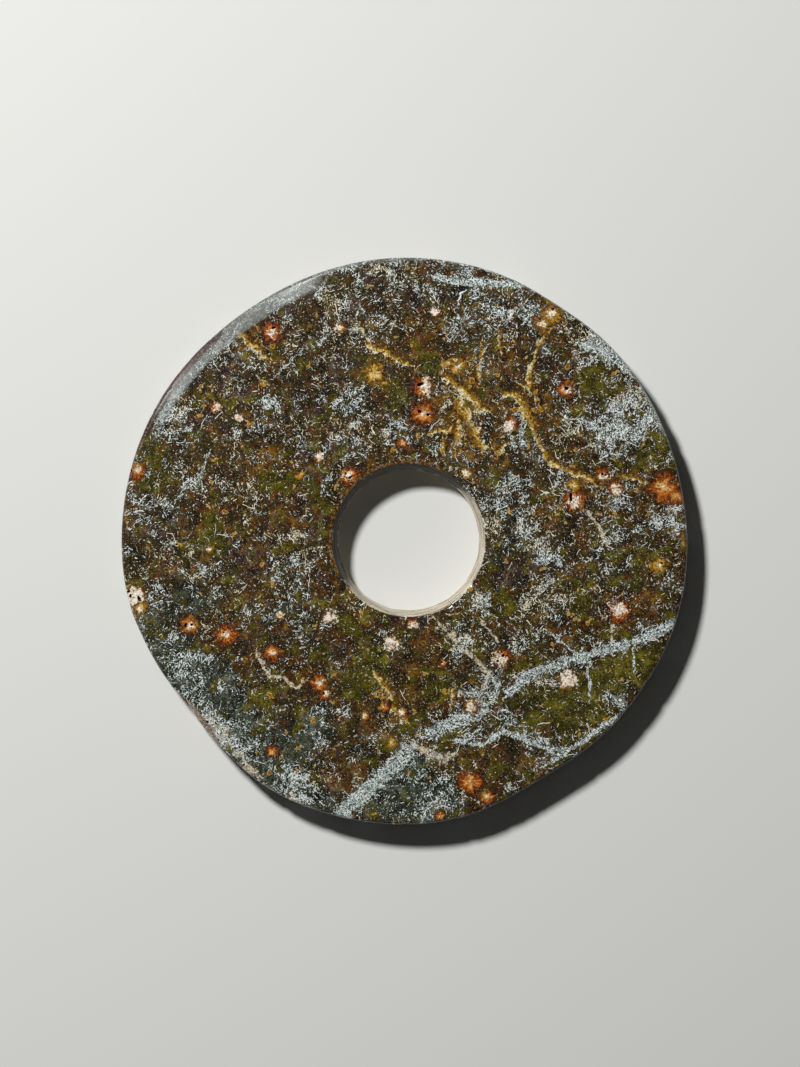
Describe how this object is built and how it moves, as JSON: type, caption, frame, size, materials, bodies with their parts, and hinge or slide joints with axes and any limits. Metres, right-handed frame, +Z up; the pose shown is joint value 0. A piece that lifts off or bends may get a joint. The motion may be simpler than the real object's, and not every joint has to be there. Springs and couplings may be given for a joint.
{
  "type": "jade bi disc",
  "caption": "Flat hand-ground ring of mottled green and brown jade with a round hole drilled through from both faces; lies flat on its underside.",
  "frame": {"origin": "centre of the disc's outline, on the plane of its underside, which is also the middle of its box's base", "axes": "+Z up through the thickness, along the hole; +X and +Y lie in the disc, with the long bevel of the upper edge between +Y and -X and the old chip between -X and -Y"},
  "size_m": [0.19, 0.1903, 0.012],
  "materials": {
    "jade": "soft polish, dark olive and brown, mottled with whitish fibrous alteration, golden seams and rusty spots with small pits"
  },
  "bodies": {
    "root": {"bi_disc": "jade"}
  },
  "joints": []
}
